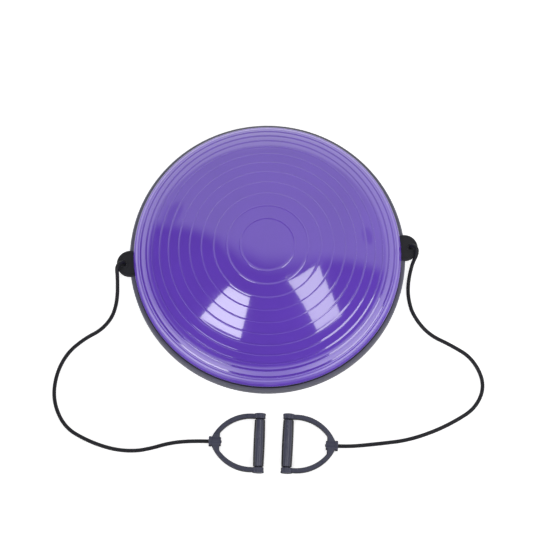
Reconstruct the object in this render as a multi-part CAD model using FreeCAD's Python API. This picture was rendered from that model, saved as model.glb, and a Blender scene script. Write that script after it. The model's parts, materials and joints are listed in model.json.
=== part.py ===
import FreeCAD, Part
import math
import os

# Balance dome trainer: an inflated dome on a round base, with two elastic bands that end in D handles.
# Millimetres, +Z up. The origin is on the floor, under the middle of the base. The band lugs are on
# the X axis and the handles lie on the floor towards -Y.

# ---------------------------------------------------------------- driving dimensions

BASE_R = 290.0              # outer radius of the base
DOME_TOP = 120.0            # height of the dome's pole above the floor
FOOT_H = 2.5                # gap under the base plate, filled by the rubber feet

# base plate
PLATE_T = 4.0               # floor of the plate
PLATE_EDGE_ROUND = 2.0      # rounding of the plate's lower outer edge
WALL_TOP = 13.0             # top of the plate's outer wall, where the clamp ring sits
SEAT_TOP = 13.7             # top of the seat under the dome's flange
SEAT_R_IN = 268.0
SEAT_R_OUT = 280.0
RIB_TOP = 11.5
RIB_T = 3.0
RADIAL_RIBS = 16
RIB_RINGS = (32.0, 130.0, 205.0)

# clamp ring
RING_TOP = 26.0
RING_ROUND = 4.0            # outer top edge
SKIRT_R = 280.2             # inside of the ring below its clamping foot
FOOT_Z = 16.8               # underside of the clamping foot
BULGE_GAP = 0.5             # between the ring and the dome above the foot
SEAM_CHAMFER = 0.6          # the two edges that meet at the seam round the side wall

# inflated dome: three tangent arcs from the pole to the widest point
CROWN_R = 1169.0
CROWN_ANGLE = 4.2
SHOULDER_R = 381.4
SHOULDER_ANGLE = 34.16
EDGE_R = 21.0
SKIN_T = 2.0
FLANGE_Z = (14.0, 16.5)
FLANGE_R = (264.0, 279.7)
RIDGE_RADII = (56.4, 84.2, 111.4, 136.8, 161, 183.4, 204.9, 223.9, 240.3, 253.7, 265.6)
RIDGE_R = 1.0               # half-round grip ridges

# bladder floor and valve
FLOOR_T = 1.8
FLOOR_CLEARANCE = 0.3         # round the floor's edge
VALVE_Y = 80.0
VALVE_BORE_R = 4.1
VALVE_STEM_R = 7.8
VALVE_STEM_Z = 5.2
VALVE_HOLE_R = 9.5            # through the plate
VALVE_BOSS_R = 12.0           # tube of the plate round that hole
VALVE_FLANGE_R = 16.0
VALVE_FLANGE_T = 1.5
PLUG_FIT = 0.06             # radial, so that the plug pulls out
PLUG_HEAD_R = 7.0
PLUG_HEAD_Z = (2.9, 4.9)
PLUG_TIP_Z = 13.5
PLUG_HEAD_ROUND = 0.6
OVERLAP = 0.5                 # how far one solid reaches into the next before they are fused

# screws
SCREW_CIRCLE_R = 284.0
SCREW_COUNT = 24
SCREW_R = 1.75
SCREW_CLEAR_R = 2.0
SCREW_HEAD_R = 3.2
SCREW_HEAD_T = 2.3
SCREW_RECESS_R = 3.4
SCREW_RECESS_TOP = 5.5
SCREW_TIP_Z = 22.0
SCREW_HEAD_ROUND = 0.7
SCREW_CROSS = (3.4, 0.8, 1.0)   # length, width and depth of the driver's recess
LUG_SCREW_Y = 14.0

# feet
FEET = 8
FEET_CIRCLE_R = 235.0
FEET_R = 20.0
CENTRE_PAD_R = 30.0
PAD_RECESS = 1.5
PAD_ROUND = 0.8

# lugs
LUG_X = 289.1               # centre of each lug's disc
LUG_R = 28.0
LUG_TOP = 28.0
LUG_BOTTOM = 22.0           # outside the base
LUG_ROOT_Z = 17.5           # underside of the part that is let into the clamp ring
LUG_GAP = 0.15
LUG_HOLE_X = 301.0
LUG_HOLE_R = 4.8
LUG_BOSS_R = 8.6              # low collar round the band's hole
LUG_BOSS_H = 1.2
LUG_BOSS_ROUND = 1.0
LUG_EDGE_ROUND = 1.6
LUG_GROOVE_R = (20.5, 23.5)
LUG_GROOVE_DEPTH = 0.7
STOP_R = 6.0                # ball that stops the band under the lug
STOP_CLEARANCE = 0.1

# bands
BAND_R = 4.0
BAND_SLACK = 0.05           # between a band and the pieces threaded on it

# handles, in the handle's own frame: U from the grip to the collar, V along the grip
HANDLE_Z = 11.95                # half the thickness at the caps' beads, plus clearance to the floor
HANDLES = {"left": ((-40.6, -392.2), 174.4), "right": ((17.6, -396.5), -6.3)}
ARM_OUT = (17.5, -28.2, 88.4)   # outer edge of an arm: centre U, V and radius
ARM_IN = (15.5, -32.6, 82.8)    # inner edge
ARM_START_U = 6.0               # inside the cap
ARM_H = 13.5
ARM_ROUND = 2.4
WEB_U = 81.0                    # straight inner edge of the web between an arm and the collar
WEB_ROUND = 5.0
CAP_V = (50.8, 61.1)
CAP_R = 11.3
CAP_BEAD_R = 11.9
CAP_BEAD_V = 57.4
CAP_BEAD_ROUND = 0.9
COLLAR_U = (78.5, 103.5)
COLLAR_R = 9.6
COLLAR_ROUND = 0.8
COLLAR_FLANGE_U = 97.8
COLLAR_FLANGE_R = 10.7
BALL_POCKET_R = 6.6
BALL_POCKET_U = 89.5
BALL_R = 5.8
BALL_U = 82.6
BUSH_R = 5.2
BUSH_FIT = 0.08                 # radial running fit in the collar
BUSH_U = (89.8, 103.1)
BAND_END_U = 86.0
ROD_R = 4.0
ROD_FIT = 0.08                  # radial running fit of the sleeve on the rod
ROD_V = 58.8
ROD_CAP_R = 7.5
ROD_CAP_ROUND = 0.8
ROD_CAP_SUNK = 0.3
SLEEVE_V = 50.3
SLEEVE_R_END = 10.8
SLEEVE_R_MID = 11.7
SLEEVE_BUSH_V = 12.0            # length of the bush in each end
GRIP_SPACE_R = 12.3             # kept clear of the arms round the sleeve
SLEEVE_HOLLOW_R = 7.2

# Routes of the two bands, from the stopper under the lug to the handle. The last two points are on
# the collar's axis and come from the handle's place.
ROUTE_LEFT = [
    (-301, 0, 18.5), (-301, 0, 33.5), (-305, 0.5, 40.4), (-310.3, -2.4, 44.4), (-314.6, -8.5, 45),
    (-316.3, -15.8, 41), (-316.2, -24.4, 32.8), (-317.2, -33.6, 22.3), (-318.1, -44.6, 13.8),
    (-319.4, -58.9, 7.9), (-323, -81.2, 4.4), (-333, -108.4, 4.05), (-356.4, -133.9, 4.05),
    (-391.2, -149.7, 4.05), (-430.2, -179.2, 4.05), (-454.8, -225.7, 4.05), (-461, -279.4, 4.05),
    (-439.8, -333.6, 4.05), (-394.9, -364.1, 4.05), (-343.5, -385.6, 4.05), (-298.5, -392.4, 4.05),
    (-262.7, -388.3, 4.05), (-232.9, -381.4, 4.2), (-205, -378.7, 5.4), (-178.3, -379.3, 8.6),
]
ROUTE_RIGHT = [
    (301, 0, 18.5), (301, 0, 33.8), (305.1, 0.7, 39.6), (309.7, -2.7, 44), (313.1, -9.2, 44.9),
    (312.8, -16.8, 42.2), (309.4, -24.3, 33.9), (304.3, -32.1, 23.3), (300.4, -43, 15),
    (296.2, -57.1, 9), (291.7, -78.5, 5), (290.5, -105.4, 4.05), (297, -140.5, 4.05),
    (325.7, -183.9, 4.05), (372.1, -210.1, 4.05), (414.2, -240.4, 4.05), (435, -296.3, 4.05),
    (411.7, -344.6, 4.05), (363.1, -371.4, 4.05), (314.5, -390.5, 4.05), (262.1, -403.4, 4.05),
    (218.1, -406.3, 4.2), (184.3, -408, 5.4), (154.5, -409.4, 8.6),
]
BAND_LAST_U = 111.5

# ---------------------------------------------------------------- helpers

UP = FreeCAD.Vector(0, 0, 1)
ORIGIN = FreeCAD.Vector(0, 0, 0)


def vec(x, y, z=0.0):
    return FreeCAD.Vector(x, y, z)


def cylinder(radius, z_low, z_high, x=0.0, y=0.0):
    return Part.makeCylinder(radius, z_high - z_low, vec(x, y, z_low))


def ring(r_in, r_out, z_low, z_high, x=0.0, y=0.0):
    return cylinder(r_out, z_low, z_high, x, y).cut(cylinder(r_in, z_low - 1, z_high + 1, x, y))


def line(a, b):
    return Part.LineSegment(a, b).toShape()


def arc(centre, radius, start, end):
    """Arc in the XZ plane. Angles are in degrees from +X towards +Z, and run from start to end."""
    def at(angle):
        a = math.radians(angle)
        return vec(centre[0] + radius * math.cos(a), 0, centre[1] + radius * math.sin(a))
    return Part.Arc(at(start), at((start + end) / 2), at(end)).toShape()


def polygon_edges(points):
    return [line(vec(a[0], 0, a[1]), vec(b[0], 0, b[1])) for a, b in zip(points, points[1:])]


def turned(edges, axis_point=ORIGIN, axis=UP):
    """Solid of revolution from the edges of one closed outline."""
    wire = Part.Wire(Part.__sortEdges__(edges))
    solid = Part.Face(wire).revolve(axis_point, axis, 360)
    return solid if solid.ShapeType == "Solid" else Part.Solid(solid.Shells[0])


def polar(radius, degrees):
    a = math.radians(degrees)
    return radius * math.cos(a), radius * math.sin(a)


def round_edges(solid):
    """The circles among a solid's edges."""
    return [e for e in solid.Edges if e.Curve.TypeId == "Part::GeomCircle"]


def rim_at(solid, z):
    """The circles of a solid that lie in the horizontal plane z."""
    def is_flat(edge):
        return max(abs(edge.BoundBox.ZMin - z), abs(edge.BoundBox.ZMax - z)) < 0.01
    return [e for e in round_edges(solid) if is_flat(e)]


def save(node, shape):
    clean = shape.removeSplitter()
    solids = clean.Solids
    result = solids[0] if len(solids) == 1 else Part.makeCompound(solids)
    result.exportStep("parts/%s.step" % node)
    volume = sum(s.Volume for s in solids) / 1000
    box = result.BoundBox
    valid = all(s.isValid() and s.Volume > 0 for s in solids)
    print("%-24s solids %2d  valid %s  %9.2f cm3  z %7.2f..%6.2f"
          % (node, len(solids), valid, volume, box.ZMin, box.ZMax))


# ---------------------------------------------------------------- dome

def dome_arcs():
    """Centres of the three arcs of the dome's outside, as (r, z)."""
    a1 = math.radians(CROWN_ANGLE)
    a2 = math.radians(SHOULDER_ANGLE)
    crown = (0.0, DOME_TOP - CROWN_R)
    shift = CROWN_R - SHOULDER_R
    shoulder = (shift * math.sin(a1), crown[1] + shift * math.cos(a1))
    shift = SHOULDER_R - EDGE_R
    edge = (shoulder[0] + shift * math.sin(a2), shoulder[1] + shift * math.cos(a2))
    return crown, shoulder, edge


def angle_at(centre, radius, z):
    """Angle below the horizontal at which an arc reaches the height z."""
    return -math.degrees(math.asin((centre[1] - z) / radius))


def skin_arcs(inset, z_end):
    """The dome's profile from the pole to the height z_end under the bulge, moved in by inset."""
    crown, shoulder, edge = dome_arcs()
    end = angle_at(edge, EDGE_R - inset, z_end)
    return [
        arc(crown, CROWN_R - inset, 90, 90 - CROWN_ANGLE),
        arc(shoulder, SHOULDER_R - inset, 90 - CROWN_ANGLE, 90 - SHOULDER_ANGLE),
        arc(edge, EDGE_R - inset, 90 - SHOULDER_ANGLE, 0),
        arc(edge, EDGE_R - inset, 0, end),
    ]


def radius_at(z, offset=0.0):
    """Radius of the bulge's lower half at the height z, offset outwards."""
    edge = dome_arcs()[2]
    return edge[0] + math.sqrt((EDGE_R + offset) ** 2 - (edge[1] - z) ** 2)


def height_at(r):
    """Height of the dome's outside at the radius r, inside its widest point."""
    crown, shoulder, edge = dome_arcs()
    r1 = CROWN_R * math.sin(math.radians(CROWN_ANGLE))
    r2 = shoulder[0] + SHOULDER_R * math.sin(math.radians(SHOULDER_ANGLE))
    if r <= r1:
        centre, radius = crown, CROWN_R
    elif r <= r2:
        centre, radius = shoulder, SHOULDER_R
    else:
        centre, radius = edge, EDGE_R
    return centre[1] + math.sqrt(radius ** 2 - (r - centre[0]) ** 2)


def dome_shell():
    low, high = FLANGE_Z
    out_r = radius_at(high)
    in_r = radius_at(high, -SKIN_T)
    edges = skin_arcs(0.0, high)
    edges += polygon_edges([
        (out_r, high), (FLANGE_R[1], high), (FLANGE_R[1], low), (FLANGE_R[0], low), (FLANGE_R[0], high),
        (in_r, high),
    ])
    edges += skin_arcs(SKIN_T, high)
    edges += polygon_edges([(0, DOME_TOP - SKIN_T), (0, DOME_TOP)])
    shell = turned(edges)
    ridges = [Part.makeTorus(r, RIDGE_R, vec(0, 0, height_at(r))) for r in RIDGE_RADII]
    inside = turned(skin_arcs(SKIN_T / 2, high) + polygon_edges([
        (radius_at(high, -SKIN_T / 2), high), (0, high), (0, DOME_TOP - SKIN_T / 2)]))
    return shell.fuse([r.cut(inside) for r in ridges])


# ---------------------------------------------------------------- base

def screw_places():
    step = 360.0 / SCREW_COUNT
    return [polar(SCREW_CIRCLE_R, step * (k + 0.5)) for k in range(SCREW_COUNT)]


def lug_screw_places(side):
    x = side * math.sqrt(SCREW_CIRCLE_R ** 2 - LUG_SCREW_Y ** 2)
    return [(x, -LUG_SCREW_Y), (x, LUG_SCREW_Y)]


def all_screw_places():
    return screw_places() + lug_screw_places(-1) + lug_screw_places(1)


def feet_places():
    return [polar(FEET_CIRCLE_R, 360.0 / FEET * (k + 0.5)) for k in range(FEET)]


def plate_ribs():
    floor = FOOT_H + PLATE_T - OVERLAP
    ribs = [ring(r - RIB_T / 2, r + RIB_T / 2, floor, RIB_TOP) for r in RIB_RINGS]
    start = RIB_RINGS[0]
    for k in range(RADIAL_RIBS):
        rib = Part.makeBox(SEAT_R_IN + 1 - start, RIB_T, RIB_TOP - floor, vec(start, -RIB_T / 2, floor))
        rib.rotate(ORIGIN, UP, 360.0 / RADIAL_RIBS * (k + 0.5))
        ribs.append(rib)
    ribs.append(cylinder(VALVE_BOSS_R, floor, RIB_TOP, 0, VALVE_Y))
    return ribs


def base_plate():
    top = FOOT_H + PLATE_T
    round_r = PLATE_EDGE_ROUND
    outline = polygon_edges([
        (0, FOOT_H), (BASE_R - round_r, FOOT_H),
    ]) + [arc((BASE_R - round_r, FOOT_H + round_r), round_r, -90, 0)] + polygon_edges([
        (BASE_R, FOOT_H + round_r), (BASE_R, WALL_TOP - SEAM_CHAMFER), (BASE_R - SEAM_CHAMFER, WALL_TOP),
        (SEAT_R_OUT, WALL_TOP), (SEAT_R_OUT, SEAT_TOP), (SEAT_R_IN, SEAT_TOP), (SEAT_R_IN, top),
        (0, top), (0, FOOT_H),
    ])
    plate = turned(outline).fuse(plate_ribs())
    cuts = [cylinder(VALVE_HOLE_R, 0, RIB_TOP + 1, 0, VALVE_Y)]
    for x, y in all_screw_places():
        cuts.append(cylinder(SCREW_CLEAR_R, 0, WALL_TOP + 1, x, y))
        cuts.append(cylinder(SCREW_RECESS_R, 0, SCREW_RECESS_TOP, x, y))
    for x, y in feet_places():
        cuts.append(cylinder(FEET_R, 0, FOOT_H + PAD_RECESS, x, y))
    cuts.append(cylinder(CENTRE_PAD_R, 0, FOOT_H + PAD_RECESS))
    return plate.cut(cuts)


def clamp_ring():
    edge = dome_arcs()[2]
    contour_r = EDGE_R + BULGE_GAP
    foot_angle = angle_at(edge, contour_r, FOOT_Z)
    top_angle = angle_at(edge, contour_r, RING_TOP)
    foot_r = radius_at(FOOT_Z, BULGE_GAP)
    lip_r = radius_at(RING_TOP, BULGE_GAP)
    edges = [arc(edge, contour_r, foot_angle, top_angle)]
    edges += polygon_edges([(lip_r, RING_TOP), (BASE_R - RING_ROUND, RING_TOP)])
    edges += [arc((BASE_R - RING_ROUND, RING_TOP - RING_ROUND), RING_ROUND, 90, 0)]
    edges += polygon_edges([
        (BASE_R, RING_TOP - RING_ROUND), (BASE_R, WALL_TOP + SEAM_CHAMFER),
        (BASE_R - SEAM_CHAMFER, WALL_TOP), (SKIRT_R, WALL_TOP), (SKIRT_R, FOOT_Z), (foot_r, FOOT_Z),
    ])
    whole = turned(edges)
    cuts = [cylinder(SCREW_R, 0, SCREW_TIP_Z, x, y) for x, y in all_screw_places()]
    for side in (-1, 1):
        cuts.append(cylinder(LUG_R + LUG_GAP, LUG_ROOT_Z, LUG_TOP + 1, side * LUG_X))
    return whole.cut(cuts)


def screw(x, y):
    head_low = SCREW_RECESS_TOP - SCREW_HEAD_T
    body = cylinder(SCREW_HEAD_R, head_low, SCREW_RECESS_TOP, x, y)
    body = body.makeFillet(SCREW_HEAD_ROUND, rim_at(body, head_low))
    body = body.fuse(cylinder(SCREW_R, SCREW_RECESS_TOP - OVERLAP, SCREW_TIP_Z, x, y))
    length, width, depth = SCREW_CROSS
    cross = [Part.makeBox(a, b, depth + 1, vec(x - a / 2, y - b / 2, head_low - 1))
             for a, b in ((length, width), (width, length))]
    return body.cut(cross)


def screws(places):
    return Part.makeCompound([screw(x, y) for x, y in places])


def pad(radius, x=0.0, y=0.0):
    disc = cylinder(radius, 0, FOOT_H + PAD_RECESS, x, y)
    return disc.makeFillet(PAD_ROUND, rim_at(disc, 0))


def bladder_floor():
    disc = cylinder(SEAT_R_IN - FLOOR_CLEARANCE, RIB_TOP, RIB_TOP + FLOOR_T)
    return disc.cut(cylinder(VALVE_STEM_R, 0, DOME_TOP, 0, VALVE_Y))


def valve_seat():
    floor_top = RIB_TOP + FLOOR_T
    seat = cylinder(VALVE_FLANGE_R, floor_top, floor_top + VALVE_FLANGE_T, 0, VALVE_Y)
    seat = seat.fuse(cylinder(VALVE_STEM_R, VALVE_STEM_Z, floor_top + OVERLAP, 0, VALVE_Y))
    return seat.cut(cylinder(VALVE_BORE_R, 0, DOME_TOP, 0, VALVE_Y))


def valve_plug():
    head = cylinder(PLUG_HEAD_R, PLUG_HEAD_Z[0], PLUG_HEAD_Z[1], 0, VALVE_Y)
    head = head.makeFillet(PLUG_HEAD_ROUND, rim_at(head, PLUG_HEAD_Z[0]))
    shaft = cylinder(VALVE_BORE_R - PLUG_FIT, PLUG_HEAD_Z[1] - OVERLAP, PLUG_TIP_Z, 0, VALVE_Y)
    return head.fuse(shaft)


# ---------------------------------------------------------------- lugs and stoppers

def lug(side):
    x = side * LUG_X
    disc = cylinder(LUG_R, LUG_ROOT_Z, LUG_TOP, x)
    disc = disc.cut(cylinder(LUG_R + 1, 0, LUG_BOTTOM, x).cut(cylinder(BASE_R, 0, LUG_BOTTOM)))
    edge = dome_arcs()[2]
    contour_r = EDGE_R + BULGE_GAP
    bulge = turned([
        arc(edge, contour_r, angle_at(edge, contour_r, FOOT_Z), 0),
    ] + polygon_edges([
        (edge[0] + contour_r, edge[1]), (0, edge[1]), (0, FOOT_Z), (radius_at(FOOT_Z, BULGE_GAP), FOOT_Z)]))
    groove = ring(*LUG_GROOVE_R, LUG_TOP - LUG_GROOVE_DEPTH, LUG_TOP + 1, x)
    top = [e for e in disc.Edges if abs(e.BoundBox.ZMin - LUG_TOP) < 0.01 and e.Length > LUG_R]
    disc = disc.makeFillet(LUG_EDGE_ROUND, top)
    disc = disc.cut([bulge, groove])
    boss = cylinder(LUG_BOSS_R, LUG_TOP - OVERLAP, LUG_TOP + LUG_BOSS_H, side * LUG_HOLE_X)
    boss = boss.makeFillet(LUG_BOSS_ROUND, rim_at(boss, LUG_TOP + LUG_BOSS_H))
    disc = disc.fuse(boss)
    cuts = [cylinder(LUG_HOLE_R, 0, LUG_TOP + 5, side * LUG_HOLE_X)]
    cuts += [cylinder(SCREW_R, 0, SCREW_TIP_Z, sx, sy) for sx, sy in lug_screw_places(side)]
    return disc.cut(cuts)


def socket_ball(radius, centre_z, socket_z):
    """Ball on the Z axis with a blind hole for the band's end, open towards +Z."""
    mouth = math.degrees(math.acos(BAND_R / radius))
    top = centre_z + radius * math.sin(math.radians(mouth))
    return turned([arc((0, centre_z), radius, -90, mouth)] + polygon_edges([
        (BAND_R, top), (BAND_R, socket_z), (0, socket_z), (0, centre_z - radius)]))


def band_stop(side):
    """Ball on the band's end, under the lug."""
    ball = socket_ball(STOP_R, LUG_BOTTOM - STOP_R - STOP_CLEARANCE, ROUTE_LEFT[0][2])
    ball.translate(vec(side * LUG_HOLE_X, 0))
    return ball


# ---------------------------------------------------------------- bands

def handle_point(name, u, v=0.0):
    (gx, gy), degrees = HANDLES[name]
    a = math.radians(degrees)
    return vec(gx + u * math.cos(a) - v * math.sin(a), gy + u * math.sin(a) + v * math.cos(a), HANDLE_Z)


def band_route(name):
    listed = ROUTE_LEFT if name == "left" else ROUTE_RIGHT
    points = [vec(*p) for p in listed]
    return points + [handle_point(name, BAND_LAST_U), handle_point(name, BAND_END_U)]


def band(name):
    """Round tube along straight runs joined by tangent arcs, as large as the runs allow."""
    points = band_route(name)
    edges = []
    start = points[0]
    radii = []
    length = 0.0
    for before, corner, after in zip(points, points[1:], points[2:]):
        a = (corner - before).normalize()
        b = (after - corner).normalize()
        half = a.getAngle(b) / 2
        reach = 0.45 * min((corner - before).Length, (after - corner).Length)
        radius = reach / math.tan(half)
        radii.append(radius)
        first = corner - a * reach
        last = corner + b * reach
        inward = (b - a).normalize()
        middle = corner + inward * (radius / math.cos(half) - radius)
        edges.append(line(start, first))
        edges.append(Part.Arc(first, middle, last).toShape())
        length += (first - start).Length + radius * half * 2
        start = last
    edges.append(line(start, points[-1]))
    length += (points[-1] - start).Length
    path = Part.Wire(edges)
    section = Part.Wire(Part.makeCircle(BAND_R, points[0], points[1] - points[0]))
    tube = path.makePipeShell([section], True, True)
    area = math.pi * BAND_R ** 2
    print("band_%s length %.1f, volume / (section x length) %.4f, smallest radii %s"
          % (name, length, tube.Volume / (area * length), [round(r, 1) for r in sorted(radii)[:6]]))
    print("  radii along it", [round(r) for r in radii])
    return tube


# ---------------------------------------------------------------- handles

def along_u(radius, u_low, u_high):
    return Part.makeCylinder(radius, u_high - u_low, vec(u_low, 0), vec(1, 0))


def along_v(radius, v_low, v_high):
    return Part.makeCylinder(radius, v_high - v_low, vec(0, v_low), vec(0, 1))


def circle_point(spec, u):
    """Point of an arm's edge circle at u, on its +V side."""
    return vec(u, spec[1] + math.sqrt(spec[2] ** 2 - (u - spec[0]) ** 2))


def arm(side):
    """One curved arm of the frame with its web up to the collar's axis. side is 1 or -1 along V."""
    tip = vec(ARM_OUT[0] + math.sqrt(ARM_OUT[2] ** 2 - ARM_OUT[1] ** 2), 0)
    out_start = circle_point(ARM_OUT, ARM_START_U)
    in_start = circle_point(ARM_IN, ARM_START_U)
    in_end = circle_point(ARM_IN, WEB_U)
    outline = Part.Wire([
        Part.Arc(out_start, circle_point(ARM_OUT, (ARM_START_U + tip.x) / 2), tip).toShape(),
        line(tip, vec(WEB_U, 0)),
        line(vec(WEB_U, 0), in_end),
        Part.Arc(in_end, circle_point(ARM_IN, (ARM_START_U + WEB_U) / 2), in_start).toShape(),
        line(in_start, out_start),
    ])
    solid = Part.Face(outline).extrude(vec(0, 0, ARM_H))
    solid.translate(vec(0, 0, -ARM_H / 2))
    corner = [e for e in solid.Edges if e.Curve.TypeId == "Part::GeomLine"
              and (e.CenterOfMass - vec(in_end.x, in_end.y)).Length < 0.01]
    solid = solid.makeFillet(WEB_ROUND, corner)
    long_edges = [e for e in solid.Edges if abs(abs(e.CenterOfMass.z) - ARM_H / 2) < 0.01
                  and e.BoundBox.YMax > 1.0 and e.BoundBox.XMax > ARM_START_U + 0.01]
    solid = solid.makeFillet(ARM_ROUND, long_edges)
    return solid if side > 0 else solid.mirror(ORIGIN, vec(0, 1))


def handle_frame():
    low, high = CAP_V
    caps = []
    for side in (-1, 1):
        v_low, v_high = sorted((side * low, side * high))
        caps.append(along_v(CAP_R, v_low, v_high))
        v_low, v_high = sorted((side * CAP_BEAD_V, side * high))
        bead = along_v(CAP_BEAD_R, v_low, v_high)
        caps.append(bead.makeFillet(CAP_BEAD_ROUND, round_edges(bead)))
    collar = along_u(COLLAR_R, COLLAR_U[0], COLLAR_U[1])
    collar = collar.makeFillet(COLLAR_ROUND, round_edges(collar))
    flange = along_u(COLLAR_FLANGE_R, COLLAR_FLANGE_U, COLLAR_U[1])
    flange = flange.makeFillet(COLLAR_ROUND, round_edges(flange))
    frame = arm(1).fuse([arm(-1), collar, flange] + caps)
    cuts = [
        along_u(BALL_POCKET_R, COLLAR_U[0] - 5, BALL_POCKET_U),
        along_u(BUSH_R + BUSH_FIT, BALL_POCKET_U - 1, COLLAR_U[1] + 1),
        along_v(GRIP_SPACE_R, -low, low),
    ]
    for side in (-1, 1):
        v_low, v_high = sorted((side * (low - 1), side * (high + 1)))
        cuts.append(along_v(ROD_R, v_low, v_high))
        v_low, v_high = sorted((side * ROD_V, side * (high + 1)))
        cuts.append(along_v(ROD_CAP_R, v_low, v_high))
    return frame.cut(cuts)


def grip_rod():
    return along_v(ROD_R, -ROD_V, ROD_V)


def rod_cap(side):
    """Push-in cover over the rod's end."""
    high = CAP_V[1] - ROD_CAP_SUNK
    disc = along_v(ROD_CAP_R, ROD_V, high)
    disc = disc.makeFillet(ROD_CAP_ROUND, [e for e in round_edges(disc) if e.BoundBox.YMin > high - 0.01])
    return disc if side > 0 else disc.mirror(ORIGIN, vec(0, 1))


def grip_sleeve():
    """Barrel-shaped sleeve that turns on the rod by a bush at each end."""
    def at(r, v):
        return vec(r, v)
    bore = ROD_R + ROD_FIT
    step = SLEEVE_V - SLEEVE_BUSH_V
    corners = [
        at(SLEEVE_R_END, -SLEEVE_V), at(bore, -SLEEVE_V), at(bore, -step), at(SLEEVE_HOLLOW_R, -step),
        at(SLEEVE_HOLLOW_R, step), at(bore, step), at(bore, SLEEVE_V), at(SLEEVE_R_END, SLEEVE_V),
    ]
    edges = [line(a, b) for a, b in zip(corners, corners[1:])]
    edges.append(Part.Arc(at(SLEEVE_R_END, SLEEVE_V), at(SLEEVE_R_MID, 0),
                          at(SLEEVE_R_END, -SLEEVE_V)).toShape())
    return turned(edges, ORIGIN, vec(0, 1))


def swivel_bush():
    tube = along_u(BUSH_R, BUSH_U[0], BUSH_U[1])
    return tube.cut(along_u(BAND_R + BAND_SLACK, BUSH_U[0] - 1, BUSH_U[1] + 1))


def band_plug():
    """Ball that keeps the band's end inside the collar."""
    ball = socket_ball(BALL_R, BALL_U, BAND_END_U)
    ball.rotate(ORIGIN, vec(0, 1), 90)
    return ball


def placed(name, shape):
    """A handle's piece, moved from the handle's own frame to where the handle lies."""
    (gx, gy), degrees = HANDLES[name]
    copy = shape.copy()
    copy.rotate(ORIGIN, UP, degrees)
    copy.translate(vec(gx, gy, HANDLE_Z))
    return copy


# ---------------------------------------------------------------- all nodes

def main():
    os.makedirs("parts", exist_ok=True)
    save("base_plate", base_plate())
    save("clamp_ring", clamp_ring())
    save("dome_shell", dome_shell())
    save("bladder_floor", bladder_floor())
    save("valve_seat", valve_seat())
    save("valve_plug", valve_plug())
    save("foot_pads", Part.makeCompound([pad(FEET_R, x, y) for x, y in feet_places()]))
    save("centre_pad", pad(CENTRE_PAD_R))
    save("perimeter_screws", screws(screw_places()))
    for name, side in (("left", -1), ("right", 1)):
        save("lug_" + name, lug(side))
        save("lug_screws_" + name, screws(lug_screw_places(side)))
        save("band_stop_" + name, band_stop(side))
        save("band_" + name, band(name))
        save("handle_frame_" + name, placed(name, handle_frame()))
        save("grip_rod_" + name, placed(name, grip_rod()))
        save("grip_sleeve_" + name, placed(name, grip_sleeve()))
        save("rod_cap_back_" + name, placed(name, rod_cap(1 if name == "right" else -1)))
        save("rod_cap_front_" + name, placed(name, rod_cap(-1 if name == "right" else 1)))
        save("swivel_bush_" + name, placed(name, swivel_bush()))
        save("band_plug_" + name, placed(name, band_plug()))


main()
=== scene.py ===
import json
import math

import bpy
from mathutils import Matrix, Vector


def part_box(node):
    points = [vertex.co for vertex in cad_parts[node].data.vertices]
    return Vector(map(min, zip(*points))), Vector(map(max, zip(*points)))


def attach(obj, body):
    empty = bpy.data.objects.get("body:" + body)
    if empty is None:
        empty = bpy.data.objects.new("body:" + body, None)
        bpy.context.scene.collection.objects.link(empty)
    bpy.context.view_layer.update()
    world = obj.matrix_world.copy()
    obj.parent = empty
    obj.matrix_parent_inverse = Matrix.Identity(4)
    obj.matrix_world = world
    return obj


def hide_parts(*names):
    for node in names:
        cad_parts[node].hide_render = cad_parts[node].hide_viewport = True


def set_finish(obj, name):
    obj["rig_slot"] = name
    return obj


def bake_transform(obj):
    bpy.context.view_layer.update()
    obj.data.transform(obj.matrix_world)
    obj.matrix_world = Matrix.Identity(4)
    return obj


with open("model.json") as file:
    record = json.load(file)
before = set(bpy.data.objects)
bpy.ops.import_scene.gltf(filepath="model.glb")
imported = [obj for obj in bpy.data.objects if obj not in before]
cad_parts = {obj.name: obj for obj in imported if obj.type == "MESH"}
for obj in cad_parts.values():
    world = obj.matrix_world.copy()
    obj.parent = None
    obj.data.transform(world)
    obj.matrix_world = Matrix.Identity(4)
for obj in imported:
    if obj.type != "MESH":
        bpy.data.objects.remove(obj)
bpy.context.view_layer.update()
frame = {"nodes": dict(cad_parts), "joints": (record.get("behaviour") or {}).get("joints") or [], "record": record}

# The balance dome trainer's looks, in metres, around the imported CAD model.

# ---------------------------------------------------------------- sizes that the looks repeat

BAND_DIAMETER = 0.008
BAND_SIDES = 24
BAND_STEPS = 12                 # points of the centre line for each point of the route
BAND_AFTER_PIVOT = 0.015        # the band's last free point, past the handle's turning point
BAND_INTO_HANDLE = -0.0105      # where the band ends, inside the collar

# the dome's outside: three tangent arcs from the pole to the widest point
CROWN_R = 1.169
CROWN_ANGLE = math.radians(4.2)
SHOULDER_R = 0.3814
SHOULDER_ANGLE = math.radians(34.16)
EDGE_R = 0.021
SKIN_T = 0.002
FLANGE_T = 0.0025
FLANGE_R_IN = 0.264
FLANGE_R_OUT = 0.2797
RIDGE_RADII = (0.0564, 0.0842, 0.1114, 0.1368, 0.161, 0.1834, 0.2049, 0.2239, 0.2403, 0.2537, 0.2656)
RIDGE_RISE = 0.0024             # width of a ridge's inner flank
RIDGE_SLOPE = math.radians(8)   # least slope of the inner flank against the skin
RIDGE_LEAN = math.radians(1.5)  # fall of the inner flank against level, where the skin is steeper
RIDGE_FALL = 0.0003             # width of the steep outer flank, with a share of the height added
RIDGE_FALL_SHARE = 0.6
PILLOW_DEPTH = 0.00008          # how far the skin sinks beside each ridge
DOME_STEPS_ROUND = 360
INSIDE_STEPS = (28, 240, 40)    # along the crown, shoulder and edge arcs
OUTER_EDGE_STEPS = 32
STEPS_BETWEEN_RIDGES = 12
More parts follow.
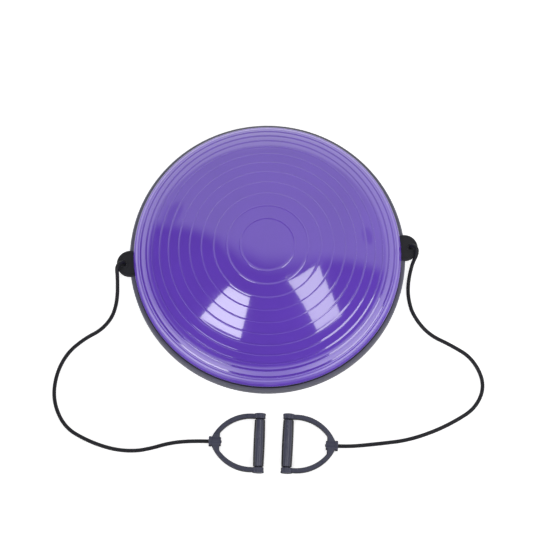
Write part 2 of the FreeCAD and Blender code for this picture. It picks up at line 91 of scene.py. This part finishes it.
STEPS_UP_RIDGE = 8
STEPS_DOWN_RIDGE = 5

# the grips' sleeves: a barrel with a groove near each end
SLEEVE_HALF = 0.0503
SLEEVE_R_END = 0.0108
SLEEVE_R_MID = 0.0117
SLEEVE_BORE_R = 0.00408
SLEEVE_HOLLOW_R = 0.0072
SLEEVE_STEP = 0.0383            # half length of the hollow between the two end bushes
SLEEVE_EDGE = 0.0005
SLEEVE_STEPS_ALONG = 200
SLEEVE_STEPS_ROUND = 64
GROOVE_V = 0.0488
GROOVE_HALF = 0.0010
GROOVE_DEPTH = 0.0030

SHARP_ANGLE = math.radians(40)  # edges sharper than this aren't smoothed

# ---------------------------------------------------------------- camera

CAMERA_AZIMUTH = math.radians(-3.42)
CAMERA_ELEVATION = math.radians(75.64)
CAMERA_DISTANCE = 3.5
CAMERA_LENS = 112.65
CAMERA_SENSOR = 36.0
CAMERA_REACH = 50.0
CAMERA_TARGET = Vector((-0.0034, -0.0235, 0.028))


def make_camera():
    data = bpy.data.cameras.new("camera")
    data.lens = CAMERA_LENS
    data.sensor_width = CAMERA_SENSOR
    data.clip_end = CAMERA_REACH
    camera = bpy.data.objects.new("camera", data)
    bpy.context.scene.collection.objects.link(camera)
    level = math.cos(CAMERA_ELEVATION)
    back = Vector((math.sin(CAMERA_AZIMUTH) * level, -math.cos(CAMERA_AZIMUTH) * level,
                   math.sin(CAMERA_ELEVATION)))
    camera.location = CAMERA_TARGET + back * CAMERA_DISTANCE
    camera.rotation_mode = "QUATERNION"
    camera.rotation_quaternion = (-back).to_track_quat("-Z", "Y")
    bpy.context.scene.camera = camera


# ---------------------------------------------------------------- elastic bands

# Control points from the stopper under each lug, up through the lug, over its edge and along the floor.
ROUTES = {
    "left": [
        (-0.301, 0, 0.0185), (-0.301, 0, 0.0335), (-0.305, 0.0005, 0.0404), (-0.3103, -0.0024, 0.0444),
        (-0.3146, -0.0085, 0.045), (-0.3163, -0.0158, 0.041), (-0.3162, -0.0244, 0.0328),
        (-0.3172, -0.0336, 0.0223), (-0.3181, -0.0446, 0.0138), (-0.3194, -0.0589, 0.0079),
        (-0.323, -0.0812, 0.0044), (-0.333, -0.1084, 0.00405), (-0.3564, -0.1339, 0.00405),
        (-0.3912, -0.1497, 0.00405), (-0.4302, -0.1792, 0.00405), (-0.4548, -0.2257, 0.00405),
        (-0.461, -0.2794, 0.00405), (-0.4398, -0.3336, 0.00405), (-0.3949, -0.3641, 0.00405),
        (-0.3435, -0.3856, 0.00405), (-0.2985, -0.3924, 0.00405), (-0.2627, -0.3883, 0.00405),
        (-0.2329, -0.3814, 0.0042), (-0.205, -0.3787, 0.0054), (-0.1783, -0.3793, 0.0086),
    ],
    "right": [
        (0.301, 0, 0.0185), (0.301, 0, 0.0338), (0.3051, 0.0007, 0.0396), (0.3097, -0.0027, 0.044),
        (0.3131, -0.0092, 0.0449), (0.3128, -0.0168, 0.0422), (0.3094, -0.0243, 0.0339),
        (0.3043, -0.0321, 0.0233), (0.3004, -0.043, 0.015), (0.2962, -0.0571, 0.009),
        (0.2917, -0.0785, 0.005), (0.2905, -0.1054, 0.00405), (0.297, -0.1405, 0.00405),
        (0.3257, -0.1839, 0.00405), (0.3721, -0.2101, 0.00405), (0.4142, -0.2404, 0.00405),
        (0.435, -0.2963, 0.00405), (0.4117, -0.3446, 0.00405), (0.3631, -0.3714, 0.00405),
        (0.3145, -0.3905, 0.00405), (0.2621, -0.4034, 0.00405), (0.2181, -0.4063, 0.0042),
        (0.1843, -0.408, 0.0054), (0.1545, -0.4094, 0.0086),
    ],
}


def joint_axis(joint_name):
    """The point that a hinge turns about and the direction of its axis."""
    joint = next(j for j in frame["joints"] if j["name"] == joint_name)
    return Vector(joint["pos_m"]), Vector(joint["axis"]).normalized()


def centre_line(name):
    """Points along the smooth curve that the band's route controls."""
    pivot, outwards = joint_axis("handle_%s_swivel" % name)
    route = [Vector(p) for p in ROUTES[name]]
    route += [pivot + outwards * BAND_AFTER_PIVOT, pivot + outwards * BAND_INTO_HANDLE]
    data = bpy.data.curves.new("band_line_" + name, "CURVE")
    data.dimensions = "3D"
    data.resolution_u = BAND_STEPS
    spline = data.splines.new("NURBS")
    spline.points.add(len(route) - 1)
    for target, point in zip(spline.points, route):
        target.co = (*point, 1.0)
    spline.order_u = 3
    spline.use_endpoint_u = True
    line = bpy.data.objects.new("band_line_" + name, data)
    mesh = bpy.data.meshes.new_from_object(line)
    points = [v.co.copy() for v in mesh.vertices]
    bpy.data.meshes.remove(mesh)
    bpy.data.objects.remove(line)
    bpy.data.curves.remove(data)
    if (points[0] - route[0]).length > (points[-1] - route[0]).length:
        points.reverse()
    return points


def tube_along(name, points, radius, sides):
    """Closed tube round a line of points, with flat ends."""
    along = [(b - a).normalized() for a, b in zip(points, points[1:])]
    along = [along[0]] + [(a + b).normalized() for a, b in zip(along, along[1:])] + [along[-1]]
    side = along[0].orthogonal().normalized()
    vertices = []
    for point, direction in zip(points, along):
        side = (side - direction * side.dot(direction)).normalized()
        other = direction.cross(side)
        for k in range(sides):
            angle = 2 * math.pi * k / sides
            vertices.append(point + (side * math.cos(angle) + other * math.sin(angle)) * radius)
    faces = []
    for row in range(len(points) - 1):
        for k in range(sides):
            a = row * sides + k
            b = row * sides + (k + 1) % sides
            faces.append((a, b, b + sides, a + sides))
    faces.append(tuple(reversed(range(sides))))
    faces.append(tuple(range(len(vertices) - sides, len(vertices))))
    return mesh_object(name, vertices, faces)


def make_band(name):
    points = centre_line(name)
    band = tube_along("band_tube_" + name, points, BAND_DIAMETER / 2, BAND_SIDES)
    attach(band, "base")
    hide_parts("band_" + name)
    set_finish(band, "band")
    return band


# ---------------------------------------------------------------- mesh helpers

def mesh_object(name, vertices, faces):
    mesh = bpy.data.meshes.new(name)
    mesh.from_pydata(vertices, [], faces)
    mesh.validate()
    mesh.update()
    mesh.shade_smooth()
    mesh.set_sharp_from_angle(angle=SHARP_ANGLE)
    piece = bpy.data.objects.new(name, mesh)
    bpy.context.scene.collection.objects.link(piece)
    return piece


def turned(name, profile, steps):
    """Closed surface of revolution about Z from a closed outline of (r, z). r of 0 is a pole."""
    vertices = []
    rows = []
    for r, z in profile:
        if r < 1e-9:
            rows.append([len(vertices)] * steps)
            vertices.append((0.0, 0.0, z))
            continue
        start = len(vertices)
        rows.append(list(range(start, start + steps)))
        for k in range(steps):
            angle = 2 * math.pi * k / steps
            vertices.append((r * math.cos(angle), r * math.sin(angle), z))
    faces = []
    for low, high in zip(rows, rows[1:] + rows[:1]):
        for k in range(steps):
            corners = [low[k], low[(k + 1) % steps], high[(k + 1) % steps], high[k]]
            corners = list(dict.fromkeys(corners))
            if len(corners) > 2:
                faces.append(corners)
    return mesh_object(name, vertices, faces)


# ---------------------------------------------------------------- grip sleeves

def make_sleeve(name):
    """Barrel-shaped tube round the grip's rod, with a groove near each end."""
    _, axis = joint_axis("grip_%s_spin" % name)
    low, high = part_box("grip_sleeve_" + name)
    middle = (low + high) / 2
    outside = []
    for k in range(SLEEVE_STEPS_ALONG + 1):
        v = SLEEVE_HALF * (2 * k / SLEEVE_STEPS_ALONG - 1)
        r = SLEEVE_R_END + (SLEEVE_R_MID - SLEEVE_R_END) * (1 - (v / SLEEVE_HALF) ** 2)
        from_groove = abs(abs(v) - GROOVE_V) / GROOVE_HALF
        if from_groove < 1:
            r -= GROOVE_DEPTH * (1 - from_groove ** 4)
        if k in (0, SLEEVE_STEPS_ALONG):
            r -= SLEEVE_EDGE
        outside.append((r, v))
    outline = [(SLEEVE_BORE_R, SLEEVE_HALF), (SLEEVE_BORE_R, SLEEVE_STEP), (SLEEVE_HOLLOW_R, SLEEVE_STEP),
               (SLEEVE_HOLLOW_R, -SLEEVE_STEP), (SLEEVE_BORE_R, -SLEEVE_STEP), (SLEEVE_BORE_R, -SLEEVE_HALF)]
    outline += outside
    sleeve = turned("sleeve_" + name, outline, SLEEVE_STEPS_ROUND)
    sleeve.data.transform(Matrix.Translation(middle) @ axis.to_track_quat("Z", "Y").to_matrix().to_4x4())
    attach(sleeve, "grip_" + name)
    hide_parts("grip_sleeve_" + name)
    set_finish(sleeve, "sleeve")
    return sleeve


# ---------------------------------------------------------------- dome

def dome_arcs(top):
    """Centres (r, z) of the dome's three arcs."""
    crown = Vector((0.0, top - CROWN_R))
    shift = CROWN_R - SHOULDER_R
    shoulder = crown + Vector((math.sin(CROWN_ANGLE), math.cos(CROWN_ANGLE))) * shift
    shift = SHOULDER_R - EDGE_R
    edge = shoulder + Vector((math.sin(SHOULDER_ANGLE), math.cos(SHOULDER_ANGLE))) * shift
    return crown, shoulder, edge


def ridge_shape(ridge):
    """Height and outer width of the ridge at this radius. Its inner flank lies nearly level."""
    crown_end = CROWN_R * math.sin(CROWN_ANGLE)
    shoulder_r = (CROWN_R - SHOULDER_R) * math.sin(CROWN_ANGLE)
    tilt = math.asin(ridge / CROWN_R if ridge < crown_end else (ridge - shoulder_r) / SHOULDER_R)
    peak = RIDGE_RISE * math.tan(max(RIDGE_SLOPE, tilt - RIDGE_LEAN))
    return peak, RIDGE_FALL + RIDGE_FALL_SHARE * peak


def relief(r):
    """Height of the skin over its three arcs: ridges, with the skin drawn in a little beside them."""
    stops = (0.0,) + RIDGE_RADII
    height = 0.0
    for a, b in zip(stops, stops[1:]):
        if a <= r <= b:
            t = (r - a) / (b - a)
            height = -PILLOW_DEPTH * (2 * t - 1) ** 2 if a > 0 else -PILLOW_DEPTH * t ** 4
    for ridge in RIDGE_RADII:
        peak, fall = ridge_shape(ridge)
        if ridge - RIDGE_RISE < r <= ridge:
            height += peak * (1 - (ridge - r) / RIDGE_RISE)
        elif ridge < r < ridge + fall:
            height += peak * (0.5 + 0.5 * math.cos(math.pi * (r - ridge) / fall))
    return height


def on_arc(centre, radius, angle, inset=0.0):
    """Point (r, z) of an arc at this angle from straight up."""
    return centre + Vector((math.sin(angle), math.cos(angle))) * (radius - inset)


def foot_angle(edge, flange_top, inset):
    """Angle at which the edge arc comes down to the flange."""
    return math.pi / 2 + math.asin((edge.y - flange_top) / (EDGE_R - inset))


def inner_skin(arcs, flange_top):
    """Outline (r, z) of the dome's smooth inside, from the pole down to the flange."""
    crown, shoulder, edge = arcs
    foot = foot_angle(edge, flange_top, SKIN_T)
    stretches = ((crown, CROWN_R, 0.0, CROWN_ANGLE), (shoulder, SHOULDER_R, CROWN_ANGLE, SHOULDER_ANGLE),
                 (edge, EDGE_R, SHOULDER_ANGLE, foot))
    points = []
    for (centre, radius, start, end), steps in zip(stretches, INSIDE_STEPS):
        points += [on_arc(centre, radius, start + (end - start) * k / steps, SKIN_T) for k in range(steps)]
    points.append(on_arc(edge, EDGE_R, foot, SKIN_T))
    return points


def outer_radii(widest_centre):
    """Radii for the outside's points, close together across each ridge."""
    radii = {0.0}
    stops = [0.0, *RIDGE_RADII, widest_centre]
    for a, b in zip(stops, stops[1:]):
        for k in range(1, STEPS_BETWEEN_RIDGES + 1):
            radii.add(a + (b - a) * k / STEPS_BETWEEN_RIDGES)
    for ridge in RIDGE_RADII:
        _, fall = ridge_shape(ridge)
        radii.update(ridge - RIDGE_RISE * k / STEPS_UP_RIDGE for k in range(STEPS_UP_RIDGE + 1))
        radii.update(ridge + fall * k / STEPS_DOWN_RIDGE for k in range(1, STEPS_DOWN_RIDGE + 1))
    return sorted(radii)


def outer_skin(arcs, flange_top):
    """Outline (r, z) of the dome's ridged outside, from the pole down to the flange."""
    crown, shoulder, edge = arcs
    crown_end = on_arc(crown, CROWN_R, CROWN_ANGLE).x
    shoulder_end = on_arc(shoulder, SHOULDER_R, SHOULDER_ANGLE).x
    points = []
    for r in outer_radii(edge.x):
        centre, radius = crown, CROWN_R
        if r > crown_end:
            centre, radius = shoulder, SHOULDER_R
        if r > shoulder_end:
            centre, radius = edge, EDGE_R
        up = math.sqrt(max(0.0, radius ** 2 - (r - centre.x) ** 2))
        normal = Vector((r - centre.x, up)) / radius
        points.append(centre + normal * (radius + relief(r)))
    points[0].x = 0.0
    start = math.asin(min(1.0, (points[-1].x - edge.x) / EDGE_R))
    foot = foot_angle(edge, flange_top, 0.0)
    for k in range(1, OUTER_EDGE_STEPS + 1):
        points.append(on_arc(edge, EDGE_R, start + (foot - start) * k / OUTER_EDGE_STEPS))
    return points


def make_dome():
    """Inflated skin with its ridges, and the flange that the ring clamps."""
    low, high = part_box("dome_shell")
    flange_low, top = low.z, high.z
    flange_top = flange_low + FLANGE_T
    arcs = dome_arcs(top)
    widest = arcs[2].x + EDGE_R
    flange_r = (high.x - low.x) / 2 - (widest - FLANGE_R_OUT)
    outside = [(p.x, p.y) for p in outer_skin(arcs, flange_top)]
    inside = [(p.x, p.y) for p in reversed(inner_skin(arcs, flange_top))]
    inside[-1] = (0.0, top - SKIN_T)
    outline = outside + [(flange_r, flange_top), (flange_r, flange_low), (FLANGE_R_IN, flange_low),
                         (FLANGE_R_IN, flange_top)] + inside
    outline.reverse()
    dome = turned("dome_skin", outline, DOME_STEPS_ROUND)
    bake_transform(dome)
    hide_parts("dome_shell")
    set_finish(dome, "dome")
    return dome


# ---------------------------------------------------------------- materials

NOISE_MIDDLE = (0.3, 0.7)       # the range that most of a noise's values lie in
GAP_SHADE_RADIUS = 0.2820            # painted shade: dark line on the ring where it meets the dome, standing in for the shadow in the gap between them
GAP_SHADE_WIDTH = 0.0008
GAP_SHADE_COLOUR = (0.004, 0.004, 0.005)
# painted shade on the handles' sides: distance from a handle's middle height over which its plastic goes from dark
# to light
HANDLE_PAINTED_SHADE = (0.0056, 0.00674)
SLEEVE_PAINTED_SHADE = (0.0070, 0.0105)
SIDE_SHADE_COLOUR = (0.016, 0.016, 0.02)


def new_material(name):
    material = bpy.data.materials.new(name)
    material.use_nodes = True
    tree = material.node_tree
    shader = tree.nodes["Principled BSDF"]
    return material, tree, shader


def noise(tree, size, detail=3.0, roughness=0.55):
    """Noise over the object's own coordinates, with features about size metres across."""
    place = tree.nodes.new("ShaderNodeTexCoord")
    texture = tree.nodes.new("ShaderNodeTexNoise")
    texture.inputs["Scale"].default_value = 1.0 / size
    texture.inputs["Detail"].default_value = detail
    texture.inputs["Roughness"].default_value = roughness
    tree.links.new(place.outputs["Object"], texture.inputs["Vector"])
    return texture.outputs["Fac"]


def remap(tree, value, low, high, from_low=NOISE_MIDDLE[0], from_high=NOISE_MIDDLE[1]):
    """Value moved from one range to another, and held within it."""
    node = tree.nodes.new("ShaderNodeMapRange")
    node.inputs["From Min"].default_value = from_low
    node.inputs["From Max"].default_value = from_high
    node.inputs["To Min"].default_value = low
    node.inputs["To Max"].default_value = high
    tree.links.new(value, node.inputs["Value"])
    return node.outputs["Result"]


def vary_colour(tree, shader, value, colour, spread):
    """Base colour between colour darkened and lightened by spread, following value."""
    ramp = tree.nodes.new("ShaderNodeValToRGB")
    dark, light = ramp.color_ramp.elements
    dark.position, light.position = NOISE_MIDDLE
    dark.color = (*[c * (1 - spread) for c in colour], 1.0)
    light.color = (*[min(1.0, c * (1 + spread)) for c in colour], 1.0)
    tree.links.new(value, ramp.inputs["Fac"])
    tree.links.new(ramp.outputs["Color"], shader.inputs["Base Color"])


def bump(tree, shader, value, height):
    """Surface raised by value, at most by height in metres."""
    node = tree.nodes.new("ShaderNodeBump")
    node.inputs["Distance"].default_value = height
    node.inputs["Strength"].default_value = 1.0
    tree.links.new(value, node.inputs["Height"])
    tree.links.new(node.outputs["Normal"], shader.inputs["Normal"])


def plastic(name, colour, roughness, grain=0.0006, grain_height=0.00001, spread=0.06, rough_spread=0.05,
            blotch=0.03, coat=0.0, coat_roughness=0.05, coat_ior=1.5, specular=0.5):
    """Moulded plastic or rubber: fine grain, slow colour drift and uneven gloss."""
    material, tree, shader = new_material(name)
    shader.inputs["Specular IOR Level"].default_value = specular
    shader.inputs["Coat Weight"].default_value = coat
    shader.inputs["Coat Roughness"].default_value = coat_roughness
    shader.inputs["Coat IOR"].default_value = coat_ior
    slow = noise(tree, blotch)
    vary_colour(tree, shader, slow, colour, spread)
    tree.links.new(remap(tree, slow, roughness - rough_spread, roughness + rough_spread),
                   shader.inputs["Roughness"])
    bump(tree, shader, noise(tree, grain, detail=2.0), grain_height)
    return material


def blend_colours(tree, shader, amount, colour):
    """Mixes the given colour, where amount is 0, with what the shader already has, where it is 1."""
    mix = tree.nodes.new("ShaderNodeMix")
    mix.data_type = "RGBA"
    factor = mix.inputs[0]
    first, second = mix.inputs[6], mix.inputs[7]
    first.default_value = (*colour, 1.0)
    tree.links.new(amount, factor)
    tree.links.new(shader.inputs["Base Color"].links[0].from_socket, second)
    tree.links.new(mix.outputs[2], shader.inputs["Base Color"])


def object_axes(tree):
    """The surface point's X, Y and Z in the object's own coordinates."""
    place = tree.nodes.new("ShaderNodeTexCoord")
    split = tree.nodes.new("ShaderNodeSeparateXYZ")
    tree.links.new(place.outputs["Object"], split.inputs["Vector"])
    return split.outputs


def paint_gap_shade(material, radius, width, colour):
    """Paints shade into a plastic's colour: it turns nearly black inside the given radius round the Z axis."""
    tree = material.node_tree
    x, y, _ = object_axes(tree)
    flat = tree.nodes.new("ShaderNodeCombineXYZ")
    tree.links.new(x, flat.inputs["X"])
    tree.links.new(y, flat.inputs["Y"])
    length = tree.nodes.new("ShaderNodeVectorMath")
    length.operation = "LENGTH"
    tree.links.new(flat.outputs["Vector"], length.inputs[0])
    amount = remap(tree, length.outputs["Value"], 0.0, 1.0, radius, radius + width)
    blend_colours(tree, tree.nodes["Principled BSDF"], amount, colour)


def paint_side_shade(material, height, near, far, colour):
    """Paints shade into a plastic's colour: dark near the given height, where a lying handle's sides are, and
    light above and below it.
    """
    tree = material.node_tree
    _, _, z = object_axes(tree)
    away = tree.nodes.new("ShaderNodeMath")
    away.operation = "SUBTRACT"
    away.inputs[1].default_value = height
    tree.links.new(z, away.inputs[0])
    distance = tree.nodes.new("ShaderNodeMath")
    distance.operation = "ABSOLUTE"
    tree.links.new(away.outputs["Value"], distance.inputs[0])
    amount = remap(tree, distance.outputs["Value"], 0.0, 1.0, near, far)
    blend_colours(tree, tree.nodes["Principled BSDF"], amount, colour)


def metal(name, colour, roughness, spread=0.08, grain=0.0004, grain_height=0.000004, streak=0.002):
    """Plain steel with fine streaks in its colour and gloss."""
    material, tree, shader = new_material(name)
    shader.inputs["Metallic"].default_value = 1.0
    streaks = noise(tree, streak, detail=4.0)
    vary_colour(tree, shader, streaks, colour, spread)
    tree.links.new(remap(tree, streaks, roughness - spread, roughness + spread), shader.inputs["Roughness"])
    bump(tree, shader, noise(tree, grain), grain_height)
    return material


def make_materials():
    """One material for each of the record's slots."""
    materials = {
        "base": plastic("base_plastic", (0.175, 0.176, 0.214), 0.5, grain=0.0009, grain_height=0.00004),
        "clamp_ring": plastic("ring_plastic", (0.117, 0.118, 0.153), 0.48, grain=0.0009,
                              grain_height=0.00003),
        "dome": plastic("dome_pvc", (0.127, 0.0455, 0.52), 0.10, grain=0.0012, grain_height=0.000004,
                        spread=0.04, rough_spread=0.03, blotch=0.12, coat=1.0, coat_roughness=0.03,
                        coat_ior=1.8, specular=0.75),
        "bladder": plastic("bladder_pvc", (0.10, 0.05, 0.35), 0.35),
        "valve": plastic("valve_pvc", (0.55, 0.55, 0.56), 0.4),
        "foot_rubber": plastic("foot_rubber", (0.03, 0.03, 0.032), 0.7, grain=0.0012, grain_height=0.00008),
        "screw_steel": metal("screw_steel", (0.55, 0.55, 0.55), 0.3),
        "lug": plastic("lug_plastic", (0.0176, 0.0176, 0.0229), 0.42, grain=0.0007, grain_height=0.00003,
                       specular=0.3),
        "band": plastic("band_latex", (0.0141, 0.0141, 0.0185), 0.34, grain=0.0008, grain_height=0.00002,
                        blotch=0.015, specular=0.2),
        "stopper": plastic("stopper_plastic", (0.012, 0.012, 0.014), 0.2),
        "handle": plastic("handle_plastic", (0.056, 0.058, 0.094), 0.30, grain=0.0007,
                          grain_height=0.000015, specular=0.35),
        "sleeve": plastic("sleeve_plastic", (0.062, 0.064, 0.105), 0.25, grain=0.001,
                          grain_height=0.00001, specular=0.5),
        "rod": metal("rod_steel", (0.5, 0.5, 0.5), 0.3),
        "bush": plastic("bush_nylon", (0.7, 0.7, 0.68), 0.5),
    }
    # painted shade: the ring goes nearly black where it meets the dome, for the shadow in the gap
    paint_gap_shade(materials["clamp_ring"], GAP_SHADE_RADIUS, GAP_SHADE_WIDTH, GAP_SHADE_COLOUR)
    # painted shade: the handles and their sleeves are darker on their sides than on top and below
    handle_height = joint_axis("handle_left_swivel")[0].z
    paint_side_shade(materials["handle"], handle_height, *HANDLE_PAINTED_SHADE, SIDE_SHADE_COLOUR)
    paint_side_shade(materials["sleeve"], handle_height, *SLEEVE_PAINTED_SHADE, SIDE_SHADE_COLOUR)
    return materials


def apply_materials(materials, made):
    """Gives each CAD node and each piece made here the material of its slot."""
    slots = {s["node"]: s["material_slot"] for s in frame["record"]["subparts"]}
    for node, item in frame["nodes"].items():
        item.data.materials.clear()
        item.data.materials.append(materials[slots[node]])
    for piece in made:
        piece.data.materials.clear()
        piece.data.materials.append(materials[piece["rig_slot"]])


# ---------------------------------------------------------------- floor, lights, surroundings

WHITE = (1.0, 1.0, 1.0, 1.0)
FLOOR_SIZE = 16.0
FLOOR_COLOUR = (0.9, 0.9, 0.9, 1.0)
FLOOR_ROUGHNESS = 0.9
FLOOR_SPECULAR = 0.1
FLOOR_GLOW = 0.62

# panel lights, with the two directions that span each
SOFTBOXES = {
    "left": {"radiance": 4.1, "centre": (-0.509, -0.325, 1.909), "width": 0.45, "height": 2.12,
             "across": (0.836, -0.535, 0.121), "upward": (-0.017, 0.196, 0.981)},
    "right": {"radiance": 3.1, "centre": (0.749, -0.324, 1.882), "width": 0.67, "height": 1.35,
              "across": (0.904, 0.153, 0.400), "upward": (-0.361, 0.776, 0.518)},
}

# The surroundings' light follows from the direction x, y, z that it comes from. Aside is x without its
# sign. Each measure is a sum of these with the weights below, and its light fades over a range of it.
HORIZON_RADIANCE = 3.3
SWEEP_TOP_RADIANCE = 1.48
HAZE_RADIANCE = 0.55
OVERHEAD_RADIANCE = 0.07
SWEEP_HEIGHT = {"y": 0.18, "z": 1.0, "aside": 0.06}
SWEEP_EDGE = (0.49, 0.57)       # where the sweep ends, overhead
SWEEP_RISE = (-0.1, 0.45)       # where it goes from the horizon's light to its top's
FRONT = {"y": 1.0, "aside": 1.0}
FRONT_RANGE = (-0.75, -0.2)
FRONT_SHARE = 0.52              # of the sweep's light, straight ahead
BELOW_RANGE = (-0.5, -0.2)
BELOW_SHARE = 0.08              # of the sweep's light, under the horizon
BACKWARD_RANGE = (-0.5, 0.1)
FORWARD_GAIN = 1.22             # of the sweep's light, to the front left and right
BACKWARD_GAIN = 0.72            # of the sweep's light, behind
LOW_FRONT = {"z": 1.0, "y": 0.30}
LOW_FRONT_RANGE = (-0.01, 0.075)
LOW_FRONT_SHARE = 0.20          # of the sweep's light, low down in front
WALL = {"x": 0.30, "y": 1.0, "z": -0.20, "aside": -0.25}
WALL_EDGE = (-0.07, 0.05)       # where the dim wall behind begins
STAND_SHARE = 0.45              # of the wall's light that is left
# things that stand dark before the wall: direction, inner and outer half width in radians
STANDS = (
    ((-0.636, 0.548, 0.543), 0.05, 0.13),
    ((0.750, 0.307, 0.586), 0.04, 0.08),
)


def make_floor():
    half = FLOOR_SIZE / 2
    floor = mesh_object("floor", [(-half, -half, 0), (half, -half, 0), (half, half, 0), (-half, half, 0)],
                        [(0, 1, 2, 3)])
    material, _, shader = new_material("floor_white")
    shader.inputs["Base Color"].default_value = FLOOR_COLOUR
    shader.inputs["Roughness"].default_value = FLOOR_ROUGHNESS
    shader.inputs["Specular IOR Level"].default_value = FLOOR_SPECULAR
    shader.inputs["Emission Color"].default_value = WHITE
    shader.inputs["Emission Strength"].default_value = FLOOR_GLOW
    floor.data.materials.append(material)
    floor.visible_glossy = False


def make_softbox(side, radiance, centre, width, height, across, upward):
    """Rectangular panel light, which the camera doesn't see."""
    name = "softbox_" + side
    data = bpy.data.lights.new(name, "AREA")
    data.shape = "RECTANGLE"
    data.size = width
    data.size_y = height
    data.energy = radiance * math.pi * width * height
    light = bpy.data.objects.new(name, data)
    bpy.context.scene.collection.objects.link(light)
    x = Vector(across).normalized()
    z = x.cross(Vector(upward)).normalized()
    y = z.cross(x)
    light.matrix_world = Matrix.Translation(centre) @ Matrix((x, y, z)).transposed().to_4x4()
    light.visible_camera = False


def make_surroundings():
    """A white sweep near the horizon, a dim wall behind, and darkness overhead, above the camera."""
    world = bpy.data.worlds.new("studio")
    bpy.context.scene.world = world
    world.use_nodes = True
    tree = world.node_tree
    place = tree.nodes.new("ShaderNodeTexCoord")
    split = tree.nodes.new("ShaderNodeSeparateXYZ")
    tree.links.new(place.outputs["Generated"], split.inputs["Vector"])
    axes = dict(zip("xyz", split.outputs))

    def calc(operation, *values):
        node = tree.nodes.new("ShaderNodeMath")
        node.operation = operation
        for socket, value in zip(node.inputs, values):
            if isinstance(value, float):
                socket.default_value = value
            else:
                tree.links.new(value, socket)
        return node.outputs["Value"]

    def fade(value, start, end, low, high):
        node = tree.nodes.new("ShaderNodeMapRange")
        node.interpolation_type = "SMOOTHSTEP"
        node.inputs["From Min"].default_value = start
        node.inputs["From Max"].default_value = end
        node.inputs["To Min"].default_value = low
        node.inputs["To Max"].default_value = high
        tree.links.new(value, node.inputs["Value"])
        return node.outputs["Result"]

    def measure(weights):
        """Sum of the axes named in weights, each times its weight."""
        total = None
        for axis, weight in weights.items():
            total = calc("MULTIPLY_ADD", axes[axis], weight, 0.0 if total is None else total)
        return total

    axes["aside"] = calc("ABSOLUTE", axes["x"])
    height = measure(SWEEP_HEIGHT)
    sweep = fade(height, *SWEEP_EDGE, 1.0, 0.0)
    for share in (fade(height, *SWEEP_RISE, HORIZON_RADIANCE, SWEEP_TOP_RADIANCE),
                  fade(measure(FRONT), *FRONT_RANGE, FRONT_SHARE, 1.0),
                  fade(axes["z"], *BELOW_RANGE, BELOW_SHARE, 1.0),
                  fade(axes["y"], *BACKWARD_RANGE, FORWARD_GAIN, BACKWARD_GAIN),
                  fade(measure(LOW_FRONT), *LOW_FRONT_RANGE, LOW_FRONT_SHARE, 1.0)):
        sweep = calc("MULTIPLY", sweep, share)
    wall = fade(measure(WALL), *WALL_EDGE, 0.0, HAZE_RADIANCE)
    for towards, inner, outer in STANDS:
        nearness = measure(dict(zip("xyz", towards)))
        wall = calc("MULTIPLY", wall, fade(nearness, math.cos(outer), math.cos(inner), 1.0, STAND_SHARE))
    total = calc("ADD", calc("MAXIMUM", sweep, wall), OVERHEAD_RADIANCE)
    background = tree.nodes["Background"]
    background.inputs["Color"].default_value = WHITE
    tree.links.new(total, background.inputs["Strength"])


# ---------------------------------------------------------------- all of it

def main():
    make_camera()
    bands = [make_band(side) for side in ("left", "right")]
    sleeves = [make_sleeve(side) for side in ("left", "right")]
    apply_materials(make_materials(), bands + sleeves + [make_dome()])
    make_floor()
    make_surroundings()
    for side, box in SOFTBOXES.items():
        make_softbox(side, **box)
    bpy.context.scene.view_settings.view_transform = "Standard"


main()
